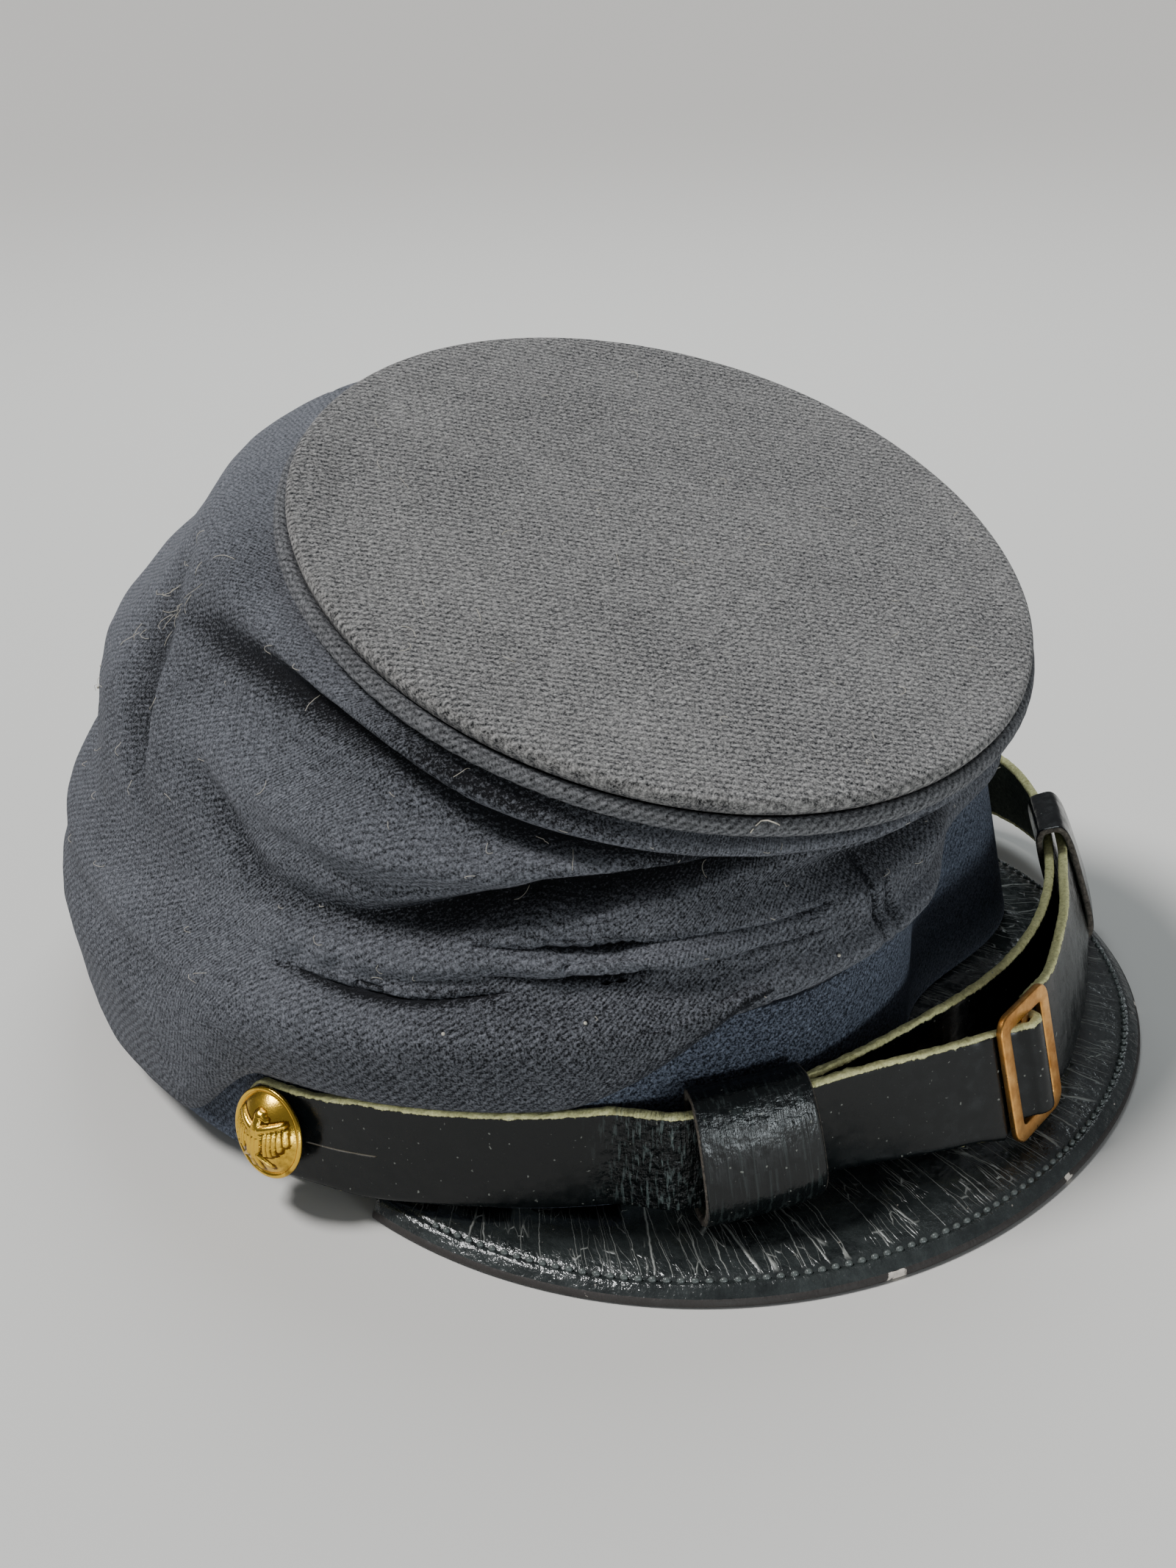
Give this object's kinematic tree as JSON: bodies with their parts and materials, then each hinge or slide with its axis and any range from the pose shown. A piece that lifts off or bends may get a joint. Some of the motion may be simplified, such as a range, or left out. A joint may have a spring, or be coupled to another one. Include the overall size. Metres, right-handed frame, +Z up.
{
  "type": "kepi cap",
  "caption": "Soft military forage cap of the kepi kind: slumped wool crown with a round flat top, leather peak, buckled chin strap and side buttons.",
  "frame": {"origin": "on the surface the cap stands on, under the middle of the whole cap's box", "axes": "+Z up; the peak points to -Y, so the cap faces -Y; the wearer's right is -X"},
  "size_m": [0.1917, 0.2235, 0.1181],
  "materials": {
    "wool_broadcloth": "matt woven wool, charcoal navy",
    "patent_leather": "glossy black lacquer with fine cracks",
    "keeper_leather": "glossy black",
    "buckle_brass": "worn coppery brass",
    "button_gilt": "polished gilt"
  },
  "bodies": {
    "root": {"head_band": "wool_broadcloth", "crown_wall": "wool_broadcloth", "crown_top": "wool_broadcloth", "crown_welt": "wool_broadcloth", "peak": "patent_leather", "strap_right": "patent_leather", "strap_left": "patent_leather", "strap_tail": "patent_leather", "keeper_near": "keeper_leather", "keeper_far": "keeper_leather", "buckle": "buckle_brass", "button_right": "button_gilt", "button_left": "button_gilt"}
  },
  "joints": []
}
